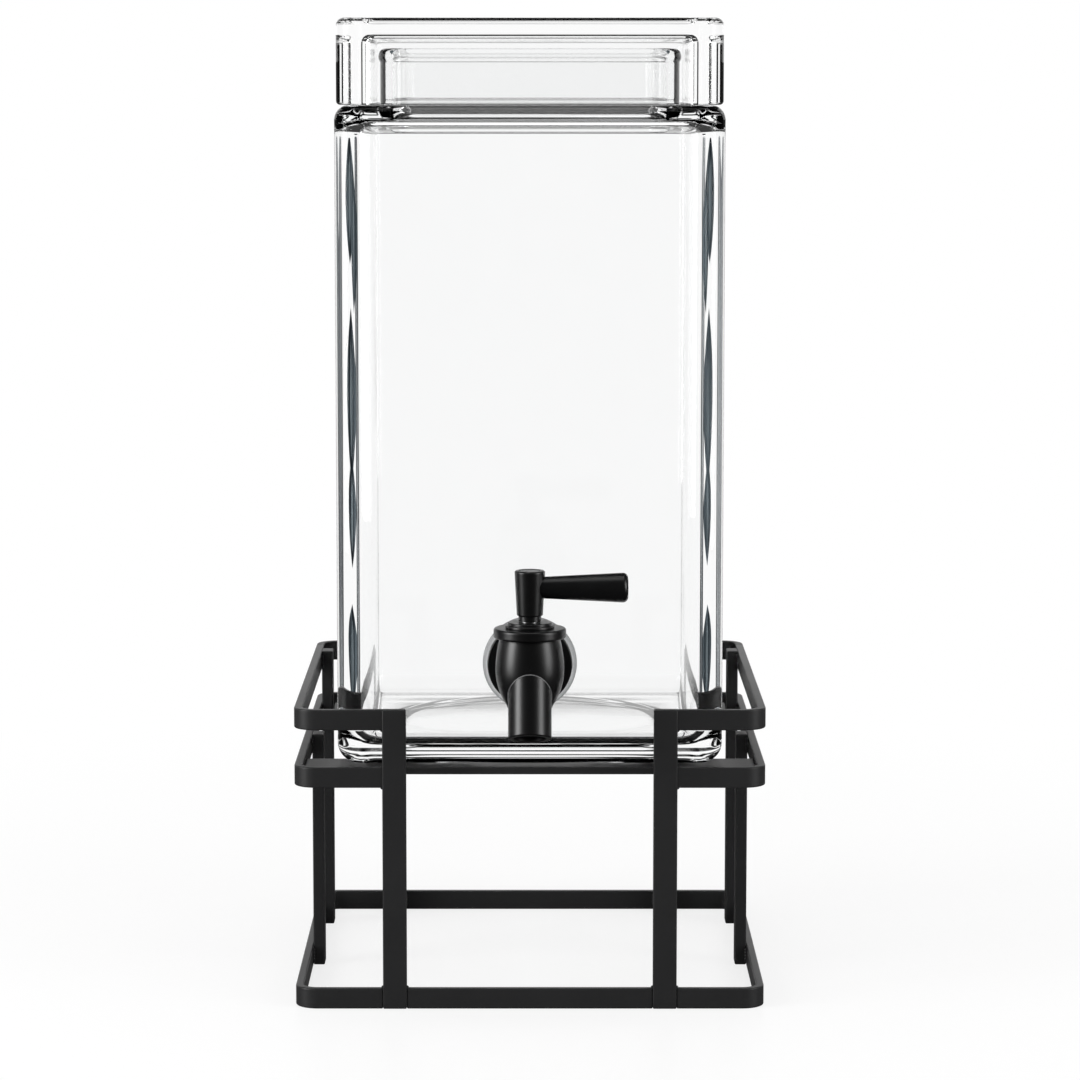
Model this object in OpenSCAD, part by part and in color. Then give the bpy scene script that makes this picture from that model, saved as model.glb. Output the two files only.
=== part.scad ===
// Square glass drink dispenser with a lever tap, a drop-on glass lid and a black flat-bar stand.
// Millimetres. The origin is the centre of the stand's square footprint on the table.
// +X is to the right, +Y to the back and +Z up, so the tap faces -Y.

/* [Stand] */
// Room between the jar and the stand's uprights on each side
stand_room = 10.25; // [5:0.25:20]
// Height of the flat bar that the rings are bent from
rail_h = 10; // [8:0.5:13]
// Thickness of the flat bar that the rings are bent from
rail_t = 4; // [3:0.25:5]
// Outer radius of the bends at the rings' corners
rail_bend_r = 11; // [8:0.5:16]
// Height of the shelf ring's top edge above the table
shelf_ring_top = 118.5; // [95:0.5:150]
// Clear height between the shelf ring and the guard above it
guard_gap = 18; // [12:0.5:30]
// How far each guard turns in behind the jar, from its side face
guard_return = 21; // [16:1:40]
// Width of the posts and legs
post_w = 11.5; // [8:0.5:13]
// Thickness of the two front posts
front_post_t = 5; // [4:0.25:7]
// Clear gap between the two front posts, where a tumbler goes in
front_gap = 119; // [100:0.5:140]
// Thickness of the side and back uprights
leg_t = 5.75; // [3:0.25:7]
// Distance of the tall rear posts in front of the stand's back face
rear_post_y = 34; // [25:1:52]
// Distance of the short side legs in front of the centre
side_leg_y = 15; // [0:1:40]
// Distance of the back legs from the stand's side faces
back_leg_x = 41; // [28:1:62]
// Width of the two flat bars that carry the jar
shelf_bar_w = 25; // [22:1:40]
// Thickness of the two flat bars that carry the jar
shelf_bar_t = 3.5; // [2.5:0.25:5]
// Distance from the stand's front and back faces to the shelf bars
shelf_bar_inset = 17; // [12:0.5:22]
// How far the shelf bars sit below the shelf ring's top edge
shelf_drop = 3; // [1:0.25:4]

/* [Jar] */
// Outer width and depth of the square jar
jar_w = 187.5; // [180:0.5:196]
// Height of the jar from its underside to its shoulder
jar_h = 319; // [260:1:380]
// Glass thickness of the four walls
jar_wall = 6; // [5:0.25:8]
// Outer radius of the jar's upright corners
jar_corner_r = 12; // [9:0.5:16]
// Inner radius of the jar's upright corners
jar_inner_r = 16; // [11:0.5:22]
// Glass thickness of the base
jar_base_t = 9; // [7:0.5:14]
// Outer radius around the foot of the jar
foot_r = 10; // [5:0.5:11]
// Outer radius around the shoulder
shoulder_r = 7; // [4:0.5:8]
// Radius around the inside of the floor
floor_r = 9; // [4:0.5:10]
// Radius around the inside of the shoulder
ceiling_r = 7; // [4:0.5:10]
// Glass thickness of the shoulder
shoulder_t = 7; // [5:0.5:10]
// Width of the shoulder's ledge around the neck
shoulder_w = 21.25; // [19:0.25:34]
// Height of the neck above the shoulder
neck_h = 27; // [22:0.5:30]
// Outer radius of the neck's corners
neck_r = 18; // [12:0.5:26]
// Glass thickness of the neck
neck_wall = 5.5; // [4:0.25:8]
// Radius of the rounded bead around the mouth
bead_r = 4; // [2.5:0.25:5]
// How far the bead stands out from the neck
bead_out = 1; // [0.5:0.25:2.5]
// Diameter of the shallow hollow under the base
punt_d = 150; // [100:1:160]
// Depth of the shallow hollow under the base
punt_depth = 3; // [1:0.25:4]
// Width of the slope around the shallow hollow
punt_slope = 14; // [4:1:30]

/* [Lid] */
// How far the lid's sides lie in from the jar's sides
lid_inset = 1; // [0:0.25:3]
// Height of the lid
lid_h = 41.5; // [38:0.5:55]
// Glass thickness of the lid's skirt
lid_wall = 12; // [9:0.5:14]
// Glass thickness of the lid's top
lid_top_t = 8; // [6:0.5:10]
// Outer radius of the lid's upright corners
lid_corner_r = 11; // [8:0.5:16]
// Inner radius of the lid's upright corners
lid_inner_r = 8; // [6:0.5:14]
// Radius around the lid's top edge
lid_edge_r = 4; // [2:0.5:6]
// Radius around the lid's lower edge
lid_foot_r = 2; // [1:0.25:3]
// Radius around the inside of the lid's top
lid_ceiling_r = 4; // [2:0.5:5]

/* [Tap] */
// Height of the tap's hole above the jar's underside
tap_h = 51; // [42:0.5:80]
// Distance of the valve's upright axis in front of the jar
tap_reach = 32; // [29:0.5:40]
// Diameter of the shank through the glass
shank_d = 16; // [13:0.5:18]
// Diameter of the water way through the shank and the valve
water_d = 9; // [6:0.25:10]
// Gap all round the shank in the glass
hole_gap = 0.5; // [0.25:0.25:1.5]
// Length of shank that shows past the lock nut
shank_tail = 4; // [1:0.5:8]
// Depth of the shank in the tap's body
shank_grip = 9; // [6:0.5:9.5]
// Diameter of the clear washer outside the glass
outer_washer_d = 45.5; // [42:0.5:56]
// Thickness of the washer on each side of the glass
washer_t = 2.5; // [1.5:0.25:3.5]
// Diameter of the washer inside the glass
inner_washer_d = 34; // [29:0.5:44]
// Diameter of the cover disc behind the tap
escutcheon_d = 41; // [34:0.5:42]
// Thickness of the cover disc behind the tap
escutcheon_t = 3.5; // [2.5:0.25:4.5]
// Width across the flats of the lock nut
nut_af = 24; // [22:0.5:28]
// Thickness of the lock nut
nut_t = 7; // [5:0.5:10]
// Largest diameter of the valve body
body_d = 32.7; // [31:0.1:36]
// Diameter at the top of the valve body
body_top_d = 28.8; // [27:0.1:30.5]
// Diameter at the bottom of the valve body
body_foot_d = 20; // [16:0.5:24]
// Height of the valve body above the hole's axis
body_up = 16.5; // [15:0.5:20]
// Depth of the valve body below the hole's axis
body_down = 17; // [15:0.5:20]
// Height of the valve body's widest part above the hole's axis
belly_up = 1.5; // [0.5:0.25:3]
// Diameter of the neck between the valve body and the cover disc
body_neck_d = 21; // [20:0.5:24]
// Diameter of the turning plug
plug_d = 15; // [13:0.25:16]
// Length of the plug below the hole's axis
plug_down = 10; // [7:0.5:12]
// Running gap all round the plug and the stem
run_gap = 0.05; // [0.02:0.01:0.1]
// Diameter of the seal ring's round section
seal_section = 2; // [1.5:0.25:2.5]
// Diameter of the bonnet that closes the valve
bonnet_d = 34.5; // [33:0.25:38]
// Thickness of the bonnet
bonnet_t = 5.2; // [4:0.1:8]
// Depth of the bonnet's plug inside the valve body
bonnet_depth = 5; // [3:0.25:5.5]
// Diameter of the bonnet's plug inside the valve body
bonnet_plug_d = 21; // [19:0.25:23]
// Diameter of the gland ring on the bonnet
gland_d = 23.2; // [20:0.2:28]
// Height of the gland ring
gland_t = 2.8; // [2:0.1:4]
// Width of the step around the gland ring's top
gland_step = 1.1; // [0.5:0.1:2]
// Diameter of the stem through the bonnet
stem_d = 9; // [8.6:0.1:10]
// Width of the square drive on top of the stem
drive_w = 6; // [5:0.25:6]
// Height of the square drive on top of the stem
drive_h = 8; // [6:0.5:9]
// Gap between parts that only just clear each other
clearance = 0.3; // [0.2:0.05:0.4]

/* [Handle] */
// Diameter of the hub's collar
hub_collar_d = 10.8; // [10.2:0.2:12]
// Height of the hub's collar
hub_collar_h = 2.8; // [2:0.2:4]
// Diameter of the hub's lower end
hub_foot_d = 12.4; // [11.6:0.2:14]
// Diameter of the hub's top
hub_top_d = 14.6; // [13.5:0.2:17]
// Height of the hub above its collar
hub_h = 21.5; // [20.5:0.5:28]
// Depth of the lever's axis below the hub's top
lever_drop = 8.2; // [8:0.2:10]
// Distance of the lever's tip from the hub's axis
lever_reach = 46.7; // [35:0.5:60]
// Diameter of the lever where it leaves the hub
lever_root_d = 9.9; // [8:0.1:11]
// Diameter of the lever's tip
lever_tip_d = 14.4; // [12:0.2:16]
// Radius around the lever's tip
lever_tip_r = 2.6; // [1:0.2:4]
// Diameter of the lever's tenon in the hub
tenon_d = 4.4; // [3.5:0.1:4.8]
// Diameter of the screw that holds the hub on the stem
screw_d = 3; // [2.5:0.1:3.2]
// Diameter of the screw's head
screw_head_d = 6.6; // [5.6:0.2:7]
// Height of the screw's head
screw_head_h = 2.2; // [1.6:0.1:2.5]
// Diameter of the cap over the screw
cap_d = 9.6; // [8.6:0.2:10]
// Thickness of the cap over the screw
cap_t = 1.8; // [1.2:0.1:2.2]

/* [Spout] */
// Outer diameter of the spout
spout_d = 20.6; // [18:0.2:22]
// Wall of the spout
spout_wall = 2.7; // [1.8:0.1:3.5]
// Lean of the spout from upright, towards the front
spout_lean = 20; // [14:1:28]
// Distance of the spout's front line at the hole's height in front of the valve axis
spout_front = 16.9; // [16.3:0.1:18]
// Length of the spout below the hole's axis, along its lean
spout_down = 31; // [26:0.5:45]
// Length of the spout inside the valve body, along its lean
spout_up = 3; // [2:0.25:5]
// Wall left between the plug and the spout
barrel_wall = 2.4; // [1.5:0.1:3]

/* [Hidden] */
$fn = 96;

// A cut runs this far past the face that it opens
over = 1;
LEFT = -1;
RIGHT = 1;
paint = [0.045, 0.045, 0.048];
clear_glass = [0.86, 0.92, 0.93, 0.35];
silicone = [0.82, 0.84, 0.85];
steel = [0.7, 0.71, 0.72];

// Widths, from the jar outwards and inwards
jar_half = jar_w / 2;
jar_inner = jar_half - jar_wall;
neck_w = jar_w - 2 * shoulder_w;
lid_w = jar_w - 2 * lid_inset;
stand_half = jar_half + stand_room + leg_t + rail_t;

// Stand
rail_inner = stand_half - rail_t;
rail_mid = stand_half - rail_t / 2;
bend_centre = stand_half - rail_bend_r;
shelf_ring_low = shelf_ring_top - rail_h;
guard_low = shelf_ring_top + guard_gap;
guard_top = guard_low + rail_h;
front_post_inner = front_gap / 2;
front_post_outer = front_post_inner + post_w;
shelf_top = shelf_ring_top - shelf_drop;
shelf_bar_low = shelf_top - shelf_bar_t;
leg_inner = rail_inner - leg_t;

// Jar and lid
jar_low = shelf_top;
jar_floor = jar_low + jar_base_t;
shoulder_z = jar_low + jar_h;
ceiling_z = shoulder_z - shoulder_t;
rim_z = shoulder_z + neck_h;
neck_top = neck_h + shoulder_t;
neck_inner_w = neck_w - 2 * neck_wall;
neck_inner_r = neck_r - neck_wall;
bead_x = neck_r - bead_r + bead_out;
lid_inner_w = lid_w - 2 * lid_wall;
lid_hollow = lid_h - lid_top_t;

// Tap, from the glass outwards along -Y and then up the valve's axis
tap_z = jar_low + tap_h;
glass_face = -jar_half;
glass_inside = -jar_inner;
washer_face = glass_face - washer_t;
escutcheon_face = washer_face - escutcheon_t;
inner_washer_face = glass_inside + washer_t;
nut_face = inner_washer_face + nut_t;
shank_front = escutcheon_face - shank_grip;
shank_back = nut_face + shank_tail;
valve_y = glass_face - tap_reach;
body_r = body_d / 2;
body_top_z = tap_z + body_up;
body_low_z = tap_z - body_down;
belly_z = tap_z + belly_up;
body_upper_arc = arc_radius(body_top_z - belly_z, body_r - body_top_d / 2);
body_lower_arc = arc_radius(belly_z - body_low_z, body_r - body_foot_d / 2);
plug_bore_d = plug_d + 2 * run_gap;
plug_low_z = tap_z - plug_down;
stem_bore_d = stem_d + 2 * run_gap;
bonnet_seat_z = body_top_z - bonnet_depth;
plug_top_z = bonnet_seat_z - clearance;
bonnet_top_z = body_top_z + bonnet_t;
gland_top_z = bonnet_top_z + gland_t;
seal_z = bonnet_top_z - seal_section;
seal_groove_d = seal_section + 2 * run_gap;

// Handle
hub_low_z = gland_top_z + clearance;
hub_foot_z = hub_low_z + hub_collar_h;
hub_top_z = hub_foot_z + hub_h;
lever_z = hub_top_z - lever_drop;
drive_top_z = hub_low_z + drive_h;
cap_low_z = hub_top_z - cap_t;
screw_head_top_z = cap_low_z - clearance;
screw_head_low_z = screw_head_top_z - screw_head_h;
screw_low_z = gland_top_z;
hub_mid_r = (hub_foot_d + (hub_top_d - hub_foot_d) * (hub_h - lever_drop) / hub_h) / 2;
tenon_in = drive_w / 2 + run_gap;

// Spout: its axis passes the hole's height this far in front of the valve
spout_axis_out = spout_front - spout_d / 2 / cos(spout_lean);
barrel_r = plug_bore_d / 2 + barrel_wall;

// Radius of an arc that falls away by sag over a run measured from its crown
function arc_radius(run, sag) = (run * run + sag * sag) / (2 * sag);

// Square cut that leaves a round of radius r at a profile's corner
module round_cut(r) {
    difference() {
        translate([0, -over]) square([r + over, r + over]);
        translate([0, r]) circle(r);
    }
}

// Profile of a rounded edge: w outwards from the corner's axis, h tall, rounded low and high
module edge_profile(w, h, low_r, high_r) {
    difference() {
        square([w, h]);
        translate([w - low_r, 0]) round_cut(low_r);
        translate([w - high_r, h]) mirror([0, 1]) round_cut(high_r);
    }
}

// Carries a profile round a square with rounded corners. half is the half width at the profile's
// zero, where the corners' axes stand, and the middle is filled from the profile's foot to its top.
module squared(half, h) {
    for (turn = [0:90:270]) {
        rotate(turn) translate([half, half, 0]) rotate_extrude(angle = 90) children();
        rotate(turn) translate([half, 0, 0]) rotate([90, 0, 0])
            linear_extrude(2 * half, center = true) children();
    }
    translate([-half, -half, 0]) cube([2 * half, 2 * half, h]);
}

// Block with a square plan, rounded corners and rounded edges
module rounded_block(w, corner_r, h, low_r, high_r) {
    squared(w / 2 - corner_r, h) edge_profile(corner_r, h, low_r, high_r);
}

// Plan of a square ring of flat bar, bent at the corners
module ring_plan() {
    difference() {
        rounded_plan(stand_half, rail_bend_r);
        rounded_plan(rail_inner, rail_bend_r - rail_t);
    }
}

// Square plan with rounded corners
module rounded_plan(half, r) {
    square([2 * half, 2 * (half - r)], center = true);
    square([2 * (half - r), 2 * half], center = true);
    for (x = [-1, 1], y = [-1, 1])
        translate([x * (half - r), y * (half - r)]) circle(r);
}

// Bent ring that stops against the two front posts
module open_ring(low_z) {
    translate([0, 0, low_z]) linear_extrude(rail_h) difference() {
        ring_plan();
        translate([-front_post_outer, -stand_half - over])
            square([2 * front_post_outer, rail_t + 2 * over]);
    }
}

module base_ring() {
    color(paint) open_ring(0);
}

module base_front_bar() {
    color(paint) translate([-front_post_inner, -stand_half, 0])
        cube([front_gap, rail_t, rail_h]);
}

module shelf_ring() {
    color(paint) open_ring(shelf_ring_low);
}

// One side of the guard: it starts at a front post and turns in behind the jar's rear corner
module guard(side) {
    color(paint) translate([0, 0, guard_low]) linear_extrude(rail_h) intersection() {
        ring_plan();
        union() {
            translate([side < 0 ? -stand_half : front_post_outer, -stand_half])
                square([stand_half - front_post_outer, stand_half]);
            translate([side < 0 ? -stand_half : stand_half - guard_return, 0])
                square([guard_return, stand_half]);
        }
    }
}

module guard_left() {
    guard(LEFT);
}

module guard_right() {
    guard(RIGHT);
}

module front_post(side) {
    color(paint) translate([side * (front_post_inner + post_w / 2), -rail_mid, guard_top / 2])
        cube([post_w, front_post_t, guard_top], center = true);
}

module front_post_left() {
    front_post(LEFT);
}

module front_post_right() {
    front_post(RIGHT);
}

// Upright on the inside of a side rail
module side_upright(side, y, top_z) {
    color(paint) translate([side * (rail_inner - leg_t / 2), y, top_z / 2])
        cube([leg_t, post_w, top_z], center = true);
}

module rear_post_left() {
    side_upright(LEFT, stand_half - rear_post_y, guard_top);
}

module rear_post_right() {
    side_upright(RIGHT, stand_half - rear_post_y, guard_top);
}

module side_leg_left() {
    side_upright(LEFT, -side_leg_y, shelf_ring_top);
}

module side_leg_right() {
    side_upright(RIGHT, -side_leg_y, shelf_ring_top);
}

// Upright on the inside of the back rail
module back_leg(side) {
    color(paint) translate([side * (stand_half - back_leg_x), rail_inner - leg_t / 2, shelf_ring_top / 2])
        cube([post_w, leg_t, shelf_ring_top], center = true);
}

module back_leg_left() {
    back_leg(LEFT);
}

module back_leg_right() {
    back_leg(RIGHT);
}

// Flat bar across the shelf ring, under the jar
module shelf_bar(low_y, half_length) {
    color(paint) translate([-half_length, low_y, shelf_bar_low])
        cube([2 * half_length, shelf_bar_w, shelf_bar_t]);
}

module shelf_bar_front() {
    shelf_bar(shelf_bar_inset - stand_half, rail_inner);
}

// The rear bar is welded between the tall rear posts
module shelf_bar_rear() {
    shelf_bar(stand_half - shelf_bar_inset - shelf_bar_w, leg_inner);
}

// Neck with a round bead at the mouth
module neck_profile() {
    square([neck_r, neck_top - bead_r]);
    square([bead_x, neck_top]);
    translate([bead_x, neck_top - bead_r]) circle(bead_r);
}

// Flat hollow under the base, with a sloping edge that runs on below the foot
module punt_hollow() {
    translate([0, 0, jar_low - over])
        cylinder(d1 = punt_d + 2 * punt_slope * over / punt_depth, d2 = punt_d - 2 * punt_slope,
                 h = punt_depth + over);
}

module jar() {
    color(clear_glass) difference() {
        union() {
            translate([0, 0, jar_low]) rounded_block(jar_w, jar_corner_r, jar_h, foot_r, shoulder_r);
            translate([0, 0, ceiling_z]) squared(neck_w / 2 - neck_r, neck_top) neck_profile();
        }
        translate([0, 0, jar_floor])
            rounded_block(2 * jar_inner, jar_inner_r, ceiling_z - jar_floor, floor_r, ceiling_r);
        translate([0, 0, ceiling_z - over]) linear_extrude(rim_z - ceiling_z + 2 * over)
            rounded_plan(neck_inner_w / 2, neck_inner_r);
        punt_hollow();
        through_y(shank_d + 2 * hole_gap, glass_face - over, glass_inside + over);
    }
}

module lid() {
    color(clear_glass) translate([0, 0, shoulder_z]) difference() {
        rounded_block(lid_w, lid_corner_r, lid_h, lid_foot_r, lid_edge_r);
        translate([0, 0, -over]) squared(lid_inner_w / 2 - lid_inner_r, lid_hollow + over)
            difference() {
                square([lid_inner_r, lid_hollow + over]);
                translate([lid_inner_r - lid_ceiling_r, lid_hollow + over]) mirror([0, 1])
                    round_cut(lid_ceiling_r);
            }
    }
}

// Round bar along Y on the tap's hole axis
module through_y(d, from_y, to_y) {
    translate([0, from_y, tap_z]) rotate([-90, 0, 0]) cylinder(d = d, h = to_y - from_y);
}

// Round bar up the valve's axis
module up_z(d, from_z, to_z) {
    translate([0, valve_y, from_z]) cylinder(d = d, h = to_z - from_z);
}

module outer_washer() {
    color(silicone) difference() {
        through_y(outer_washer_d, washer_face, glass_face);
        through_y(shank_d, washer_face - over, glass_face + over);
    }
}

module escutcheon() {
    color(paint) difference() {
        through_y(escutcheon_d, escutcheon_face, washer_face);
        through_y(shank_d, escutcheon_face - over, washer_face + over);
    }
}

module shank() {
    color(steel) difference() {
        through_y(shank_d, shank_front, shank_back);
        through_y(water_d, shank_front - over, shank_back + over);
    }
}

module inner_washer() {
    color(silicone) difference() {
        through_y(inner_washer_d, glass_inside, inner_washer_face);
        through_y(shank_d, glass_inside - over, inner_washer_face + over);
    }
}

module lock_nut() {
    color(steel) difference() {
        translate([0, inner_washer_face, tap_z]) rotate([-90, 0, 0])
            cylinder(d = nut_af / cos(30), h = nut_t, $fn = 6);
        through_y(shank_d, inner_washer_face - over, nut_face + over);
    }
}

// Half of the valve body's outline, an arc over the top and a tighter one below
module body_outline() {
    intersection() {
        square([body_r, body_top_z - belly_z]);
        translate([body_r - body_upper_arc, 0]) circle(body_upper_arc, $fn = 240);
    }
    intersection() {
        translate([0, body_low_z - belly_z]) square([body_r, belly_z - body_low_z]);
        translate([body_r - body_lower_arc, 0]) circle(body_lower_arc, $fn = 240);
    }
}

// Leaning round bar on the spout's axis
module leaning(d, up, down) {
    translate([0, valve_y - spout_axis_out, tap_z]) rotate([-spout_lean, 0, 0])
        translate([0, 0, -down]) cylinder(d = d, h = up + down);
}

// Space that the spout takes, less the barrel left round the plug
module spout_space(gap) {
    difference() {
        leaning(spout_d + 2 * gap, spout_up + gap, spout_down);
        up_z(2 * (barrel_r - gap), body_low_z - spout_down, body_top_z);
    }
}

module tap_body() {
    color(paint) difference() {
        union() {
            translate([0, valve_y, belly_z]) rotate_extrude() body_outline();
            through_y(body_neck_d, valve_y, escutcheon_face);
        }
        spout_space(run_gap);
        up_z(plug_bore_d, plug_low_z - clearance, body_top_z + over);
        up_z(bonnet_plug_d, bonnet_seat_z, body_top_z + over);
        through_y(shank_d, shank_front, escutcheon_face + over);
        through_y(water_d, valve_y - barrel_r, shank_front + over);
    }
}

module spout() {
    color(paint) difference() {
        spout_space(0);
        leaning(spout_d - 2 * spout_wall, spout_up - spout_wall, spout_down + over);
        through_y(water_d, valve_y - spout_front + spout_wall, valve_y);
    }
}

module bonnet() {
    color(paint) difference() {
        union() {
            up_z(bonnet_d, body_top_z, bonnet_top_z);
            up_z(bonnet_plug_d, bonnet_seat_z, body_top_z);
        }
        up_z(stem_bore_d, bonnet_seat_z - over, bonnet_top_z + over);
    }
}

module gland() {
    color(paint) difference() {
        union() {
            up_z(gland_d, bonnet_top_z, bonnet_top_z + gland_t / 2);
            up_z(gland_d - 2 * gland_step, bonnet_top_z + gland_t / 2, gland_top_z);
        }
        up_z(stem_bore_d, bonnet_top_z - over, gland_top_z + over);
    }
}

// Round groove for the seal ring
module seal_ring(section) {
    translate([0, valve_y, seal_z]) rotate_extrude()
        translate([stem_d / 2 - seal_section / 2, 0]) circle(d = section);
}

// The water way lies across the flow at rest, so the tap is shut
module valve_plug() {
    color(steel) difference() {
        union() {
            up_z(plug_d, plug_low_z, plug_top_z);
            up_z(stem_d, plug_top_z, hub_low_z);
            translate([-drive_w / 2, valve_y - drive_w / 2, hub_low_z])
                cube([drive_w, drive_w, drive_h]);
        }
        translate([-plug_d, valve_y, tap_z]) rotate([0, 90, 0]) cylinder(d = water_d, h = 2 * plug_d);
        seal_ring(seal_groove_d);
        up_z(screw_d, screw_low_z, drive_top_z + over);
    }
}

module stem_seal() {
    color(silicone) seal_ring(seal_section);
}

// Tapered outside of the hub
module hub_cone(gap) {
    translate([0, valve_y, hub_foot_z])
        cylinder(d1 = hub_foot_d + 2 * gap, d2 = hub_top_d + 2 * gap, h = hub_h);
}

module handle_hub() {
    color(paint) difference() {
        union() {
            up_z(hub_collar_d, hub_low_z, hub_foot_z);
            hub_cone(0);
        }
        translate([-drive_w / 2, valve_y - drive_w / 2, hub_low_z - over])
            cube([drive_w, drive_w, drive_h + over]);
        up_z(screw_d, drive_top_z - over, screw_head_low_z + over);
        up_z(screw_head_d, screw_head_low_z, hub_top_z + over);
        up_z(cap_d, cap_low_z, hub_top_z + over);
        lever_bar(tenon_d, tenon_in, hub_top_d);
    }
}

// Round bar along +X on the lever's axis
module lever_bar(d, from_x, to_x) {
    translate([from_x, valve_y, lever_z]) rotate([0, 90, 0]) cylinder(d = d, h = to_x - from_x);
}

// Half of the lever's outline along its axis: a cone that swells to a rounded tip
module lever_outline() {
    tip_flat = lever_tip_d / 2 - lever_tip_r;
    polygon([
        [0, 0], [lever_root_d / 2, 0], [lever_tip_d / 2, lever_reach - lever_tip_r],
        [tip_flat, lever_reach], [0, lever_reach]
    ]);
    intersection() {
        translate([tip_flat, lever_reach - lever_tip_r]) circle(lever_tip_r);
        translate([tip_flat, lever_reach - lever_tip_r]) square(lever_tip_r);
    }
}

module lever() {
    color(paint) {
        difference() {
            translate([0, valve_y, lever_z]) rotate([0, 90, 0]) rotate_extrude() lever_outline();
            hub_cone(run_gap);
            translate([-over, valve_y - lever_tip_d / 2, lever_z - lever_tip_d / 2])
                cube([over, lever_tip_d, lever_tip_d]);
        }
        lever_bar(tenon_d, tenon_in, hub_mid_r + over);
    }
}

module handle_screw() {
    color(steel) {
        up_z(screw_head_d, screw_head_low_z, screw_head_top_z);
        up_z(screw_d, screw_low_z, screw_head_low_z);
    }
}

module hub_cap() {
    color(paint) up_z(cap_d, cap_low_z, hub_top_z);
}

base_ring();
base_front_bar();
shelf_ring();
guard_left();
guard_right();
front_post_left();
front_post_right();
rear_post_left();
rear_post_right();
side_leg_left();
side_leg_right();
back_leg_left();
back_leg_right();
shelf_bar_front();
shelf_bar_rear();
jar();
lid();
outer_washer();
escutcheon();
shank();
inner_washer();
lock_nut();
tap_body();
spout();
bonnet();
gland();
valve_plug();
stem_seal();
handle_hub();
lever();
handle_screw();
hub_cap();
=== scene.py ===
# %% [markdown]
# # A square glass drink dispenser
# This lesson dresses a finished construction model of a glass drink dispenser: a square glass jar with a
# loose glass lid, a black lever tap and a black flat-bar stand. The construction gives the frame. Each
# visible piece is then drawn again as a smooth surface with rounded edges, and gets its own finish.

import math

import bmesh
import bpy
import numpy as np
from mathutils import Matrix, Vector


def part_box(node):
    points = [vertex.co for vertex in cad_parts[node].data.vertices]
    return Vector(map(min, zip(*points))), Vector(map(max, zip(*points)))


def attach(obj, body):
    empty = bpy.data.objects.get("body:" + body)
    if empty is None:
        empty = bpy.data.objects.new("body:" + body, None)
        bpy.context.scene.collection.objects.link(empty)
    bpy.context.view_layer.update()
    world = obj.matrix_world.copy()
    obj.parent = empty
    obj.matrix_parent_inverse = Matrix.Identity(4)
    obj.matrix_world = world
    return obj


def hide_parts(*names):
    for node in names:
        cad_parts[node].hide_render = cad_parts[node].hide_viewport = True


MM = 0.001
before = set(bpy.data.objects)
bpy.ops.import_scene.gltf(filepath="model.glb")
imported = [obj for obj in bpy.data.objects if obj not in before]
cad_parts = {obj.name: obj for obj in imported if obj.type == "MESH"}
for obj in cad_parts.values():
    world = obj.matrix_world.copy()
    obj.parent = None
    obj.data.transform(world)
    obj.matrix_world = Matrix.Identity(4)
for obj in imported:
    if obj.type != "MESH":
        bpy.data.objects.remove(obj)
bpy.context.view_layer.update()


# %% [markdown]
# ## Places and sizes
# Every piece sits where the construction puts it, so most sizes are read off the boxes of the frame's
# nodes. Only what a box can't tell, such as a bend or a wall, is written here as a size in millimetres.

# %% Places in the frame
X_AXIS = np.array([1.0, 0.0, 0.0])
Y_AXIS = np.array([0.0, 1.0, 0.0])
Z_AXIS = np.array([0.0, 0.0, 1.0])
SIDES = {"left": -1, "right": 1}


def place(node):
    """Lowest corner, highest corner and middle of a node's box, in millimetres."""
    low, high = (np.array(corner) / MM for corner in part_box(node))
    return low, high, (low + high) / 2


bar_low, bar_high, bar_mid = place("base_front_bar")
rail_t = bar_high[1] - bar_low[1]
rail_h = bar_high[2] - bar_low[2]
rail_y = bar_mid[1]
jar_low, jar_high, _ = place("jar")
lid_low, lid_high, _ = place("lid")
print("rail", round(rail_h, 2), "by", round(rail_t, 2), "mm, jar", np.round(jar_high - jar_low, 1), "mm")


# %% [markdown]
# ## From a formula to a mesh
# A surface here is a grid of points: each row is one loop, and the rows follow each other along a path or
# a profile. Neighbouring rows are joined by four-sided faces. Where a row shrinks to a point, its doubled
# points are merged, so that the surface closes like the pole of a globe.

# %% Grid surfaces
SHARP_ANGLE = math.radians(38)
MERGE = 1e-7


def grid_faces(rows, columns, first, ring):
    """Corner numbers of the cells of a grid whose columns close, and whose rows close too if ring is set."""
    index = first + np.arange(rows * columns).reshape(rows, columns)
    index = np.hstack([index, index[:, :1]])
    if ring:
        index = np.vstack([index, index[:1]])
    cells = [index[:-1, :-1], index[:-1, 1:], index[1:, 1:], index[1:, :-1]]
    return np.stack(cells, axis=-1).reshape(-1, 4)


def tidy_mesh(mesh):
    """Merges doubled points, turns the faces outwards and keeps edges over the sharp angle crisp."""
    work = bmesh.new()
    work.from_mesh(mesh)
    bmesh.ops.remove_doubles(work, verts=work.verts, dist=MERGE)
    bmesh.ops.dissolve_degenerate(work, edges=work.edges, dist=MERGE)
    bmesh.ops.recalc_face_normals(work, faces=work.faces)
    work.to_mesh(mesh)
    work.free()
    mesh.polygons.foreach_set("use_smooth", np.ones(len(mesh.polygons), dtype=bool))
    mesh.set_sharp_from_angle(angle=SHARP_ANGLE)


def grid_object(name, grids, ring=False):
    """One object from grids of points in millimetres, each an array of rows, columns and x, y, z."""
    faces = []
    first = 0
    for grid in grids:
        faces.append(grid_faces(grid.shape[0], grid.shape[1], first, ring))
        first += grid.shape[0] * grid.shape[1]
    points = np.concatenate([grid.reshape(-1, 3) for grid in grids]) * MM
    mesh = bpy.data.meshes.new(name)
    mesh.from_pydata(points, [], np.concatenate(faces))
    tidy_mesh(mesh)
    made = bpy.data.objects.new(name, mesh)
    bpy.context.scene.collection.objects.link(made)
    return made


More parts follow.
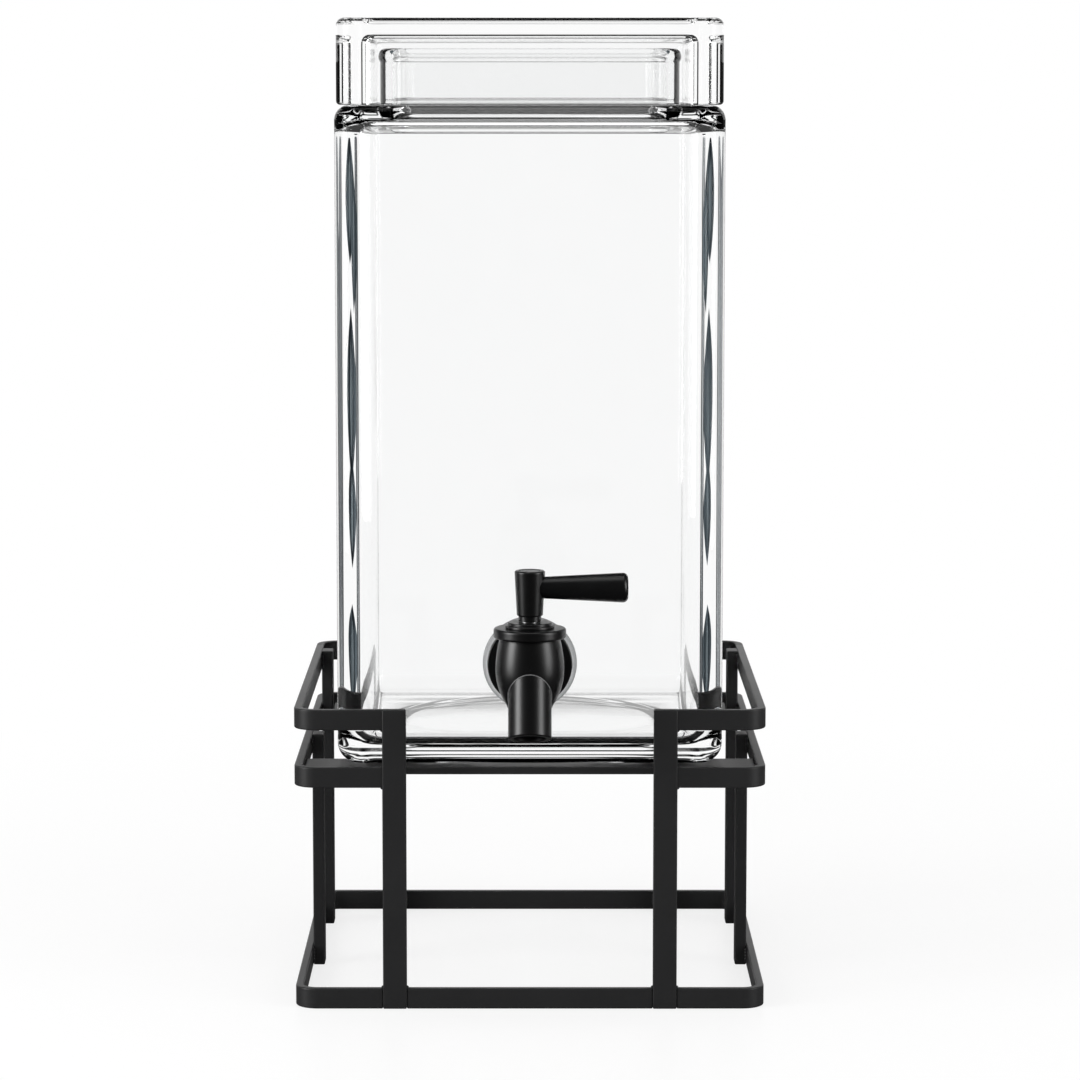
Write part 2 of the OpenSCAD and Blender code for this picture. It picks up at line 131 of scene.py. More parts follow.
def add_piece(made, finish, body, slot, *nodes):
    """Gives a piece its finish and its body, and lets it stand for the nodes named. The slot is not used."""
    made.data.materials.clear()
    made.data.materials.append(finish)
    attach(made, body)
    if nodes:
        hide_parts(*nodes)
    print(made.name, len(made.data.polygons), "faces on", body)
    return made


# %% [markdown]
# ## Profiles
# Nothing that is pressed, bent or turned has knife edges, and it is the small rounds that catch the light.
# So each outline is written as a few corners with a radius each, and the rounds are worked out as arcs. A
# point is kept just before and after each arc, so that the flat faces beside it stay flat in the shading.

# %% Outlines, turned shapes and carried profiles
HOLD_SHARE = 0.25
NEARLY_ALONG = 0.9


def unit(vector):
    """The vector at length one."""
    return vector / np.linalg.norm(vector)


def outline(corners, radii, steps=6):
    """Corners joined by lines, each rounded to an arc that touches both of its lines, r / tan(half) away."""
    corners = np.asarray(corners, dtype=float)
    stretches = []
    for i, r in enumerate(radii):
        here = corners[i]
        if r == 0:
            stretches.append(here[None])
            continue
        back = unit(corners[i - 1] - here)
        ahead = unit(corners[(i + 1) % len(corners)] - here)
        half = math.acos(np.clip(back @ ahead, -1, 1)) / 2
        reach = r / math.tan(half)
        centre = here + unit(back + ahead) * r / math.sin(half)
        start = here + back * reach - centre
        end = here + ahead * reach - centre
        sweep = math.pi - 2 * half
        turn = np.linspace(0, sweep, steps + 1)[:, None]
        arc = centre + (start * np.sin(sweep - turn) + end * np.sin(turn)) / math.sin(sweep)
        before = arc[:1] + back * r * HOLD_SHARE
        after = arc[-1:] + ahead * r * HOLD_SHARE
        stretches.append(np.vstack([before, arc, after]))
    return np.concatenate(stretches)


def frame_across(axis):
    """Two directions square to an axis and to each other."""
    helper = X_AXIS if abs(axis[0]) < NEARLY_ALONG else Y_AXIS
    across = unit(np.cross(axis, helper))
    return across, np.cross(axis, across)


def lathe(profile, base, axis, steps=96):
    """Turned shape: base + axis h + r (across cos a + along sin a) for each r, h of the profile."""
    across, along = frame_across(axis)
    angle = np.linspace(0, 2 * math.pi, steps, endpoint=False)[None, :, None]
    r = profile[:, 0, None, None]
    h = profile[:, 1, None, None]
    return base + axis * h + r * (across * np.cos(angle) + along * np.sin(angle))


FLAT_STEPS = np.array([0.012, 0.5, 0.988])


def rounded_loops(half_u, half_v, radius, arc_steps):
    """Loops of rectangles with round corners: four arcs about their centres, and points on the flats."""
    turn = np.arange(4)[:, None] * math.pi / 2 + np.linspace(0, math.pi / 2, arc_steps + 1)
    sign = np.array([[1, 1], [-1, 1], [-1, -1], [1, -1]])
    centre = np.stack([half_u - radius, half_v - radius], axis=-1)[:, None] * sign
    rim = np.stack([np.cos(turn), np.sin(turn)], axis=-1)
    arcs = centre[:, :, None] + radius[:, None, None, None] * rim
    ahead = np.roll(arcs[:, :, :1], -1, axis=1)
    flats = arcs[:, :, -1:] + FLAT_STEPS[:, None] * (ahead - arcs[:, :, -1:])
    return np.concatenate([arcs, flats], axis=2).reshape(len(radius), -1, 2)


def carried(path, side, up, half_u, half_v, radius, arc_steps):
    """Loops carried along a path: point = path + side u + up v, with one loop for each point of the path."""
    loops = rounded_loops(half_u, half_v, radius, arc_steps)
    return path[:, None] + side[:, None] * loops[..., :1] + up[:, None] * loops[..., 1:]


rounded_square = outline([(1, 1), (-1, 1), (-1, -1), (1, -1)], [0.2] * 4)
print("outline of a rounded square has", len(rounded_square), "points")


# %% [markdown]
# ## Shader maths as expressions
# A finish is a small network of nodes, and formulas read better than wires. This class wraps an output
# socket, so that `1 - mask * 0.5` adds the Math nodes by itself. One function makes every other node.

# %% Socket wrapper
class Wire:
    """An output socket that can be used in sums and products."""

    def __init__(self, tree, socket):
        self.tree = tree
        self.socket = socket

    def math(self, operation, first, second):
        """A Math node on two values or wires."""
        sockets = {0: first, 1: second}
        return make_node(self.tree, "ShaderNodeMath", {"operation": operation}, sockets)["Value"]

    def __add__(self, other):
        return self.math("ADD", self, other)

    def __sub__(self, other):
        return self.math("SUBTRACT", self, other)

    def __rsub__(self, other):
        return self.math("SUBTRACT", other, self)

    def __mul__(self, other):
        return self.math("MULTIPLY", self, other)

    def __gt__(self, other):
        return self.math("GREATER_THAN", self, other)

    __radd__ = __add__
    __rmul__ = __mul__


class Made:
    """A node whose outputs are read by name, as wires."""

    def __init__(self, tree, node):
        self.tree = tree
        self.node = node

    def __getitem__(self, name):
        return Wire(self.tree, self.node.outputs[name])


def make_node(tree, kind, settings=None, sockets=None):
    """Any node: its settings first, then the values or wires of its sockets."""
    node = tree.nodes.new(kind)
    for key, value in (settings or {}).items():
        setattr(node, key, value)
    for key, value in (sockets or {}).items():
        if isinstance(value, Wire):
            tree.links.new(value.socket, node.inputs[key])
        else:
            node.inputs[key].default_value = value
    return Made(tree, node)


def new_finish(name):
    """An empty material with its tree and its Object coordinates."""
    finish = bpy.data.materials.new(name)
    finish.use_nodes = True
    finish.node_tree.nodes.clear()
    tree = finish.node_tree
    return finish, tree, make_node(tree, "ShaderNodeTexCoord")["Object"]


def noise(tree, place_wire, scale, detail=3.0, rough=0.55):
    """Smooth noise between 0 and 1, with scale in cells to the metre."""
    sockets = {"Vector": place_wire, "Scale": scale, "Detail": detail, "Roughness": rough}
    return make_node(tree, "ShaderNodeTexNoise", {}, sockets)["Fac"]


def two_tone(tree, mask, low, high):
    """A colour that runs from low to high as the mask goes from 0 to 1."""
    settings = {"data_type": "RGBA"}
    mix = make_node(tree, "ShaderNodeMix", settings, {0: mask, 6: (*low, 1), 7: (*high, 1)})
    return Wire(tree, mix.node.outputs[2])


def bumped(tree, height, depth, strength):
    """The surface normal tilted by a height map whose full step is depth metres."""
    sockets = {"Height": height, "Distance": depth, "Strength": strength}
    return make_node(tree, "ShaderNodeBump", {}, sockets)["Normal"]


def surface(tree, sockets):
    """The finish's main shader, linked to its output."""
    shader = make_node(tree, "ShaderNodeBsdfPrincipled", {}, sockets)
    make_node(tree, "ShaderNodeOutputMaterial", {}, {"Surface": shader["BSDF"]})


print("shader helpers ready")


# %% [markdown]
# ## Black powder coat
# The stand is welded from flat steel bar and powder coated. The powder melts into a skin that is almost
# level, with a fine orange peel about a millimetre across and a grain that breaks up the shine. A bump
# from two noises gives the peel, and a third one makes the shine uneven.

# %% Powder coat finish
def powder_coat():
    """Dark grey-black skin with orange peel, a fine grain and an uneven satin shine."""
    finish, tree, where = new_finish("powder_coat")
    cloud = noise(tree, where, 35.0)
    peel = noise(tree, where, 900.0, 2.0)
    grain = noise(tree, where, 4200.0, 2.0)
    shade = cloud * 0.7 + grain * 0.3
    sockets = {
        "Base Color": two_tone(tree, shade, (0.0125, 0.0125, 0.013), (0.0185, 0.0185, 0.019)),
        "Roughness": 0.36 + cloud * 0.08 + grain * 0.06,
        "Normal": bumped(tree, peel + grain * 0.4, 0.00006, 0.55),
        "Specular IOR Level": 0.3,
    }
    surface(tree, sockets)
    return finish


stand_finish = powder_coat()
print("finish", stand_finish.name)


# %% [markdown]
# ## Satin black tap
# The tap is metal with a thin, satin black coat. It is smoother than the stand, so its highlights are long
# and soft. Fine turning marks and a faint cloudiness keep the coat from looking like plastic.

# %% Tap finish
def satin_black():
    """Thin black coat: deep colour, soft shine, faint marks left by turning and polishing."""
    finish, tree, where = new_finish("satin_black")
    cloud = noise(tree, where, 120.0)
    fine = noise(tree, where, 2600.0, 2.0)
    sockets = {
        "Base Color": two_tone(tree, cloud, (0.0008, 0.0008, 0.0009), (0.0022, 0.0022, 0.0024)),
        "Roughness": 0.27 + cloud * 0.07 + fine * 0.05,
        "Normal": bumped(tree, fine + cloud * 0.5, 0.00002, 0.5),
        "Specular IOR Level": 0.5,
    }
    surface(tree, sockets)
    return finish


# Painted highlight: a paler, smoother coat that draws the pale line along the spout's seam.
def painted_seam_highlight():
    """The same coat painted paler and smoother, in patches: a painted highlight along the spout's seam."""
    finish, tree, where = new_finish("painted_seam_highlight")
    patch = noise(tree, where, 400.0)
    sockets = {
        "Base Color": two_tone(tree, patch, (0.07, 0.07, 0.072), (0.16, 0.16, 0.163)),
        "Roughness": 0.22 + patch * 0.1,
        "Normal": bumped(tree, patch, 0.00001, 0.4),
        "Specular IOR Level": 0.6,
    }
    surface(tree, sockets)
    return finish


tap_finish = satin_black()
seam_highlight_finish = painted_seam_highlight()
print("finishes", tap_finish.name, seam_highlight_finish.name)


# %% [markdown]
# ## Clear glass
# The jar and the lid are pressed from clear glass. A trace of blue-green shows only where light runs a long
# way through it, and the pressing leaves the faces very slightly wavy. Reflections off the faces are turned
# down, so that the jar stays clear. Refraction does the rest: the dark lines at the corners are the dark
# parts of the studio, bent into view.

# %% Glass finish
def clear_glass():
    """Clear glass that bends light by 1.5, with a slow waviness, a trace of tint and little reflection."""
    finish, tree, where = new_finish("clear_glass")
    wave = noise(tree, where, 14.0, 1.0)
    cloud = noise(tree, where, 60.0, 2.0)
    sockets = {
        "Base Color": two_tone(tree, cloud, (0.964, 0.966, 0.966), (0.974, 0.976, 0.976)),
        "Roughness": cloud * 0.008,
        "Normal": bumped(tree, wave, 0.0004, 0.35),
        "Transmission Weight": 1.0,
        "IOR": 1.5,
        "Specular Tint": (0.15, 0.15, 0.15, 1),
    }
    surface(tree, sockets)
    return finish


glass_finish = clear_glass()
print("finish", glass_finish.name)


# %% [markdown]
# ## Clear silicone and steel
# The washers are translucent silicone: pale, a little milky, with a soft skin. Towards the rim a painted
# shade darkens the last few millimetres, by their distance from the hole's axis. The shank and
# its nut are plain turned steel. They are seen only through the glass, from behind and from the sides.

# %% Silicone and steel finishes
RIM_SHADE_WIDE = 2.6
_, washer_high, washer_mid = place("outer_washer")
washer_r = washer_high[0]


def clear_silicone():
    """Milky translucent rubber, pale in its middle, with a painted shade that darkens it towards the rim, and
    a fine matt skin.
    """
    finish, tree, where = new_finish("clear_silicone")
    cloud = noise(tree, where, 300.0)
    skin = noise(tree, where, 3000.0, 2.0)
    apart = make_node(tree, "ShaderNodeSeparateXYZ", {}, {0: where})
    across = apart["X"]
    upward = apart["Z"] - washer_mid[2] * MM
    away = across.math("SQRT", across * across + upward * upward, 0)
    # Painted shade: over the last few millimetres before the rim the colour runs from pale to dark grey.
    rim_shade_sockets = {"Value": away, "From Min": (washer_r - RIM_SHADE_WIDE) * MM, "From Max": washer_r * MM}
    rim = make_node(tree, "ShaderNodeMapRange", {}, rim_shade_sockets)["Result"]
    shade = rim * rim * 0.9 + cloud * 0.1
    sockets = {
        "Base Color": two_tone(tree, shade, (0.9, 0.91, 0.92), (0.1, 0.105, 0.11)),
        "Roughness": 0.3 + cloud * 0.12,
        "Normal": bumped(tree, skin, 0.00002, 0.4),
        "Transmission Weight": 0.35,
        "IOR": 1.41,
    }
    surface(tree, sockets)
    return finish


def turned_steel():
    """Bright steel with turning marks and an uneven shine."""
    finish, tree, where = new_finish("turned_steel")
    cloud = noise(tree, where, 180.0)
    marks = noise(tree, where, 3500.0, 4.0, 0.7)
    sockets = {
        "Base Color": two_tone(tree, cloud, (0.52, 0.525, 0.53), (0.63, 0.635, 0.64)),
        "Metallic": 1.0,
        "Roughness": 0.24 + marks * 0.14,
        "Normal": bumped(tree, marks, 0.00002, 0.4),
    }
    surface(tree, sockets)
    return finish


washer_finish = clear_silicone()
steel_finish = turned_steel()
print("finishes", washer_finish.name, steel_finish.name)


# %% [markdown]
# ## Flat bars
# All of the stand is flat bar: a rectangle with slightly rounded edges, carried along a straight or a bent
# path. The ends are cut square and dressed, so the last few loops draw in by the edge radius and the end
# closes in its middle.

# %% Bar maker
EDGE_R = 0.7
BEND_R = 11.0
EDGE_STEPS = 4
BEND_STEPS = 14
STRAIGHT_STOPS = np.array([0, 0.04, 0.96, 1])
SEEN_THROUGH = ("front_post", "rear_post", "guard", "shelf_bar_front")


def bar_grid(path, up, width, height):
    """A bar: at each point of the path a rounded rectangle, width across the path and height along up."""
    ahead = np.gradient(path, axis=0)
    ahead /= np.linalg.norm(ahead, axis=1)[:, None]
    turn = np.linspace(0, math.pi / 2, EDGE_STEPS + 1)
    out = EDGE_R * np.sin(turn)
    inset = EDGE_R * (1 - np.cos(turn))
    start = path[0] + ahead[0] * (EDGE_R - out[::-1, None])
    end = path[-1] - ahead[-1] * (EDGE_R - out[:, None])
    rows = np.vstack([start[:1], start, path[1:-1], end, end[-1:]])
    heading = np.vstack([np.repeat(ahead[:1], len(start) + 1, axis=0), ahead[1:-1],
                         np.repeat(ahead[-1:], len(end) + 1, axis=0)])
    drawn_in = np.concatenate([inset[::-1][:1], inset[::-1], np.zeros(len(path) - 2), inset, inset[-1:]])
    half_u = width / 2 - drawn_in
    half_v = height / 2 - drawn_in
    radius = np.maximum(EDGE_R - drawn_in, 0)
    closing = [0, -1]
    half_u[closing] = half_v[closing] = radius[closing] = 0
    side = np.cross(up, heading)
    return carried(rows, side, np.broadcast_to(up, side.shape), half_u, half_v, radius, EDGE_STEPS)


def straight_path(start, end):
    """Four points along a straight bar."""
    return start + (end - start) * STRAIGHT_STOPS[:, None]


def bent_path(corners, z):
    """A path at one height through the plan's corners, bent to the rail's middle radius."""
    mid_r = BEND_R - rail_t / 2
    radii = [0] + [mid_r] * (len(corners) - 2) + [0]
    plan = outline(corners, radii, BEND_STEPS)
    return np.column_stack([plan, np.full(len(plan), z)])


def stand_piece(name, node, grid):
    """A bar of the stand in powder coat, in place of its node."""
    made = add_piece(grid_object(name, [grid]), stand_finish, "stand", "stand_paint", node)
    made.visible_transmission = node.startswith(SEEN_THROUGH)
    return made


print("bars have an edge radius of", EDGE_R, "mm")


# %% [markdown]
# ## The rings and the guards
# Two rings are bent from one bar each, from one front post round the back to the other front post: one on
# the table and one under the jar. The two guards above follow the same bend on each side and turn in
# behind the jar's rear corners. The upper joints are ground flush, so there the bars run a little way into
# the post's rounded edge and no groove is left. To keep the glass clear, most bars under and behind the jar
# are hidden from rays that come through glass. For that each guard is drawn in two lengths that meet flush:
# its run along the side stays visible through the glass, and its turn behind the jar doesn't.

# %% Rings and guards
post_outer = place("front_post_right")[1][0]
ring_half = -rail_y
ring_end = {"base_ring": post_outer, "shelf_ring": post_outer - 2 * EDGE_R}
for node, end in ring_end.items():
    ring_z = place(node)[2][2]
    ring_plan = [(-end, -ring_half), (-ring_half, -ring_half), (-ring_half, ring_half),
                 (ring_half, ring_half), (ring_half, -ring_half), (end, -ring_half)]
    ring = bar_grid(bent_path(ring_plan, ring_z), Z_AXIS, rail_t, rail_h)
    stand_piece("bent_" + node, node, ring)

guard_z = place("guard_right")[2][2]
GUARD_RETURN, GUARD_TURN = 21.0, 14.0
guard_end = ring_half + rail_t / 2 - GUARD_RETURN
meet_y = ring_half - GUARD_TURN
for side, sign in SIDES.items():
    run_plan = [(sign * (post_outer - 2 * EDGE_R), -ring_half), (sign * ring_half, -ring_half),
                (sign * ring_half, meet_y + EDGE_R)]
    turn_plan = [(sign * ring_half, meet_y - EDGE_R), (sign * ring_half, ring_half),
                 (sign * guard_end, ring_half)]
    run, turn = (bar_grid(bent_path(plan, guard_z), Z_AXIS, rail_t, rail_h) for plan in (run_plan, turn_plan))
    stand_piece("bent_guard_" + side, "guard_" + side, run)
    guard_turn = add_piece(grid_object("guard_turn_" + side, [turn]), stand_finish, "stand", "stand_paint")
    guard_turn.visible_transmission = False


# %% [markdown]
# ## Posts, legs and straight bars
# The posts and legs are upright bars, and the jar rests on two flat bars across the shelf. All are straight,
# so each is read off its node's box: the longest side is its path.

# %% Straight bars
straight_nodes = ["base_front_bar", "shelf_bar_front", "shelf_bar_rear"]
for side in SIDES:
    straight_nodes += ["front_post_" + side, "rear_post_" + side, "side_leg_" + side, "back_leg_" + side]


def straight_bar(node):
    """The bar that fills a node's box, along the box's longest side."""
    low, high, mid = place(node)
    size = high - low
    along = int(np.argmax(size))
    direction = np.eye(3)[along]
    up = Y_AXIS if along == 2 else Z_AXIS
    width_axis = int(np.argmax(np.abs(np.cross(up, direction))))
    reach = direction * size[along] / 2
    path = straight_path(mid - reach, mid + reach)
    return bar_grid(path, up, size[width_axis], size[int(np.argmax(up))])


for node in straight_nodes:
    stand_piece("flat_" + node, node, straight_bar(node))


# %% [markdown]
# ## Weld beads
# Where a leg lies against a rail or a ring meets a post, the welder leaves a short bead, later covered by the
# powder coat. Each bead is a thin round tube along the corner, whose radius swells and shrinks a little with
# each dab of the torch.

# %% Weld beads
BEAD_R, BEAD_INSET, DAB, DAB_SWELL = 0.9, 1.0, 1.6, 0.12
DAB_ROWS, LEAST_ROWS, BEAD_SIDES, END_POWER = 8, 16, 12, 6
bead_grids = []


def bead(start, end):
    """A tube from start to end with radius r (1 + swell sin(2 pi s / dab)) that closes at both ends."""
    start, end = np.asarray(start, dtype=float), np.asarray(end, dtype=float)
    length = np.linalg.norm(end - start)
    s = np.linspace(0, length, max(int(length / DAB * DAB_ROWS), LEAST_ROWS))
    closing = np.sqrt(np.clip(1 - np.abs(2 * s / length - 1) ** END_POWER, 0, 1))
    r = BEAD_R * closing * (1 + DAB_SWELL * np.sin(2 * math.pi * s / DAB))
    bead_grids.append(lathe(np.column_stack([r, s]), start, unit(end - start), BEAD_SIDES))


post_inner = bar_high[0]
front_y = (rail_y - rail_t / 2, rail_y + rail_t / 2)
shelf_low, shelf_high, _ = place("shelf_ring")
guard_low = place("guard_right")[0][2]
for sign in SIDES.values():
    for x, z in ((post_outer, bar_high[2]), (post_inner, bar_high[2]), (post_outer, shelf_low[2]),
                 (post_outer, shelf_high[2]), (post_outer, guard_low)):
        bead((sign * x, front_y[0] + BEAD_R, z), (sign * x, front_y[1] - BEAD_R / 2, z))
rail_inside = shelf_high[0] - rail_t
weld_nodes = [("side_leg_", ("base_ring", "shelf_ring")),
              ("rear_post_", ("base_ring", "shelf_ring", "guard_right"))]
for side, sign in SIDES.items():
    for leg, rails in weld_nodes:
        leg_low, leg_high, _ = place(leg + side)
        for rail in rails:
            low_z = place(rail)[0][2] + BEAD_INSET
            high_z = min(place(rail)[1][2], leg_high[2]) - BEAD_INSET
            for y in (leg_low[1], leg_high[1]):
                bead((sign * rail_inside, y, low_z), (sign * rail_inside, y, high_z))
    leg_low, leg_high, _ = place("back_leg_" + side)
    for rail in ("base_ring", "shelf_ring"):
        low_z, high_z = place(rail)[0][2] + BEAD_INSET, place(rail)[1][2] - BEAD_INSET
        for x in (leg_low[0], leg_high[0]):
            bead((x, rail_inside, low_z), (x, rail_inside, high_z))
beads = add_piece(grid_object("weld_beads", bead_grids), stand_finish, "stand", "stand_paint")
beads.visible_transmission = False
print(len(bead_grids), "weld beads")


# %% [markdown]
# ## The jar
# The jar is one skin of glass: up the outside, over the neck's bead, and down the inside to the floor. Seen
# from above each level is a square with round corners, so the skin is a profile carried round a square. The
# profile lists half the square's width at each height. The corners' radius grows with the distance from a
# fixed corner axis, as it does on a mould turned at the corners. A hair of air is left under the foot.

# %% Jar
JAR_CORNER_R, JAR_INNER_R, JAR_WALL, JAR_BASE = 12.0, 16.0, 6.0, 9.0
FOOT_R, SHOULDER_R, FLOOR_R, CEILING_R, SHOULDER_T = 10.0, 7.0, 9.0, 7.0, 7.0
NECK_W, NECK_R, NECK_WALL, NECK_BEAD_R, NECK_BEAD_OUT, NECK_FILLET = 145.0, 18.0, 5.5, 4.0, 1.0, 2.5
PUNT_D, PUNT_SLOPE, PUNT_DEPTH, AIR = 150.0, 14.0, 3.0, 0.08
GLASS_STEPS, PUNT_ROWS = 20, 25


def squared(profile, corner_axis):
    """Half width, corner radius and height of each loop, with the corners' axes at one place."""
    half, z = profile.T
    return np.column_stack([half, np.maximum(half - corner_axis, 0), z])


def squared_skin(rows):
    """A profile carried round a square: rows of half width, corner radius and height."""
    half, radius, z = rows.T
    path = np.column_stack([np.zeros_like(z), np.zeros_like(z), z])
    ones = np.ones((len(z), 1))
    return carried(path, ones * X_AXIS, ones * Y_AXIS, half, half, radius, GLASS_STEPS)


foot_z, shoulder_z, rim_z = jar_low[2] + AIR, lid_low[2], jar_high[2]
jar_half = jar_high[0]
jar_inner = jar_half - JAR_WALL
floor_z, ceiling_z = jar_low[2] + JAR_BASE, shoulder_z - SHOULDER_T
neck_half = NECK_W / 2
neck_in = neck_half - NECK_WALL
outside = outline([(PUNT_D / 2, foot_z), (jar_half, foot_z), (jar_half, shoulder_z), (neck_half, shoulder_z)],
                  [0, FOOT_R, SHOULDER_R, 0], GLASS_STEPS)[1:-1]
bead_turn = np.linspace(-math.acos(1 - NECK_BEAD_OUT / NECK_BEAD_R), math.pi / 2, GLASS_STEPS + 1)
neck_bead = np.column_stack([neck_half + NECK_BEAD_OUT + NECK_BEAD_R * (np.cos(bead_turn) - 1),
                             rim_z + NECK_BEAD_R * (np.sin(bead_turn) - 1)])
neck_up = outline([(jar_half, shoulder_z), (neck_half, shoulder_z), (neck_half, rim_z)],
                  [0, NECK_FILLET, 0], GLASS_STEPS)[1:-1]
neck_down = outline([(neck_half, rim_z), (neck_in, rim_z), (neck_in, ceiling_z), (jar_inner, ceiling_z)],
                    [0, NECK_BEAD_R / 2, NECK_FILLET, 0], GLASS_STEPS)[1:-1]
inside = outline([(neck_in, ceiling_z), (jar_inner, ceiling_z), (jar_inner, floor_z), (0, floor_z)],
                 [0, CEILING_R, FLOOR_R, 0], GLASS_STEPS)[1:-1]
punt_fall = np.linspace(0, math.pi, PUNT_ROWS)
punt_half = PUNT_D / 2 - PUNT_SLOPE * (1 - punt_fall / math.pi)
punt_z = foot_z + PUNT_DEPTH * (1 + np.cos(punt_fall)) / 2
punt = np.column_stack([punt_half, punt_half, punt_z])
jar_rows = np.vstack([
    [[0, 0, punt_z[0]]],
    punt,
    squared(outside, jar_half - JAR_CORNER_R),
    squared(np.vstack([neck_up, neck_bead, neck_down]), neck_half - NECK_R),
    squared(inside, jar_inner - JAR_INNER_R),
    [[0, 0, floor_z]],
])
jar_skin = grid_object("glass_jar", [squared_skin(jar_rows)])
print("jar skin of", len(jar_rows), "loops")


# %% [markdown]
# The tap's hole is drilled after the pressing, as on the real jar, so here too a round cutter takes it out
# of the finished skin.

# %% Tap hole
shank_low, shank_high, shank_mid = place("shank")
shank_r = (shank_high[0] - shank_low[0]) / 2
HOLE_GAP, DRILL_STEPS = 0.5, 64


def drill(made, start, end, radius):
    """Takes a round hole from start to end out of a closed skin."""
    depth = np.linalg.norm(end - start)
    profile = np.array([(0, 0), (radius, 0), (radius, depth), (0, depth)])
    cutter = grid_object("drill", [lathe(profile, start, unit(end - start), DRILL_STEPS)])
    cut = made.modifiers.new("hole", "BOOLEAN")
    cut.object = cutter
    cut.operation = "DIFFERENCE"
    cut.solver = "EXACT"
    drilled = bpy.data.meshes.new_from_object(made.evaluated_get(bpy.context.evaluated_depsgraph_get()))
    made.modifiers.clear()
    made.data = drilled
    bpy.data.objects.remove(cutter)
    tidy_mesh(drilled)


hole_front = np.array([0, -jar_half - JAR_WALL / 2, shank_mid[2]])
hole_back = np.array([0, -jar_inner + JAR_WALL / 2, shank_mid[2]])
drill(jar_skin, hole_front, hole_back, shank_r + HOLE_GAP)
add_piece(jar_skin, glass_finish, "vessel", "clear_glass", "jar")


# %% [markdown]
# ## The lid
# The lid is a thick pressed cap, open below. It drops over the neck and rests on the jar's shoulder, so its
# profile runs from the middle of the top, down the outside, under the skirt and up to the hollow's ceiling.

# %% Lid
LID_WALL, LID_TOP, LID_CORNER_R, LID_INNER_R = 12.0, 8.0, 11.0, 8.0
LID_EDGE_R, LID_FOOT_R, LID_CEILING_R, LID_LIP_R = 4.0, 2.0, 4.0, 1.0
lid_half = lid_high[0]
lid_in = lid_half - LID_WALL
lid_foot_z, lid_top_z = lid_low[2] + AIR, lid_high[2]
lid_ceiling_z = lid_top_z - LID_TOP
lid_outside = outline([(0, lid_top_z), (lid_half, lid_top_z), (lid_half, lid_foot_z), (lid_in, lid_foot_z)],
                      [0, LID_EDGE_R, LID_FOOT_R, 0], GLASS_STEPS)[1:-1]
lid_inside = outline([(lid_half, lid_foot_z), (lid_in, lid_foot_z), (lid_in, lid_ceiling_z),
                      (0, lid_ceiling_z)], [0, LID_LIP_R, LID_CEILING_R, 0], GLASS_STEPS)[1:-1]
lid_rows = np.vstack([
    [[0, 0, lid_top_z]],
    squared(lid_outside, lid_half - LID_CORNER_R),
    squared(lid_inside, lid_in - LID_INNER_R),
    [[0, 0, lid_ceiling_z]],
])
add_piece(grid_object("glass_lid", [squared_skin(lid_rows)]), glass_finish, "cover", "clear_glass", "lid")


# %% [markdown]
# ## Washers and cover disc
# A soft washer on each side of the glass keeps the tap tight and clear of the glass, and a black disc covers
# the outer one. They are rings, so each is a rounded section turned about the hole's axis.

# %% Washers and cover disc
OUTER_WASHER_EDGE, INNER_WASHER_EDGE, COVER_DISC_EDGE = 0.9, 0.7, 0.8


def ring_profile(inner, outer, low, high, r):
    """Closed section of a flat ring with its four edges rounded."""
    return outline([(inner, low), (outer, low), (outer, high), (inner, high)], [r] * 4)


def tap_ring(name, node, edge_r, finish, slot):
    """A ring on the shank, in place of its node, a hair clear of its neighbours."""
    low, high, mid = place(node)
    radius = (high[0] - low[0]) / 2
    section = ring_profile(shank_r + AIR, radius, low[1] + AIR, high[1] - AIR, edge_r)
    base = np.array([0, 0, mid[2]])
    add_piece(grid_object(name, [lathe(section, base, Y_AXIS)], ring=True), finish, "vessel", slot, node)


tap_ring("soft_outer_washer", "outer_washer", OUTER_WASHER_EDGE, washer_finish, "clear_silicone")
tap_ring("soft_inner_washer", "inner_washer", INNER_WASHER_EDGE, washer_finish, "clear_silicone")
tap_ring("black_escutcheon", "escutcheon", COVER_DISC_EDGE, tap_finish, "tap_black")


# %% [markdown]
# ## Shank and lock nut
# The shank is a threaded tube. Its thread is a ridge that climbs one pitch a turn, so its radius depends on
# the height less the angle. The nut is a six-sided bar whose corners are turned off to a cone.

# %% Shank and lock nut
THREAD_PITCH, THREAD_DEPTH, BORE_R, CHAMFER = 1.5, 0.75, 4.5, 0.9
THREAD_FLANK, THREAD_CREST, THREAD_ROWS, SHANK_STEPS = 1.2, 0.1, 260, 96
angle = np.linspace(0, 2 * math.pi, SHANK_STEPS, endpoint=False)
shank_len = shank_high[1] - shank_low[1]


def around_shank(radius, height):
    """Points about the hole's axis from arrays of radius and height over rows and angles."""
    points = [radius * np.cos(angle), shank_low[1] + height, shank_mid[2] + radius * np.sin(angle)]
    return np.stack(points, axis=-1)


h = np.linspace(0, shank_len, THREAD_ROWS)[:, None] + np.zeros((1, SHANK_STEPS))
ridge = np.abs(((h / THREAD_PITCH - angle / (2 * math.pi)) % 1) * 2 - 1)
end_cone = np.minimum(h, shank_len - h) + shank_r - CHAMFER
threaded = np.minimum(shank_r - THREAD_DEPTH * np.clip(THREAD_FLANK * ridge - THREAD_CREST, 0, 1), end_cone)
bore_h = np.array([[shank_len], [0]]) + np.zeros((1, SHANK_STEPS))
shank_rows = np.concatenate([around_shank(threaded, h), around_shank(np.full_like(bore_h, BORE_R), bore_h)])
add_piece(grid_object("threaded_shank", [shank_rows], ring=True), steel_finish, "vessel", "steel", "shank")

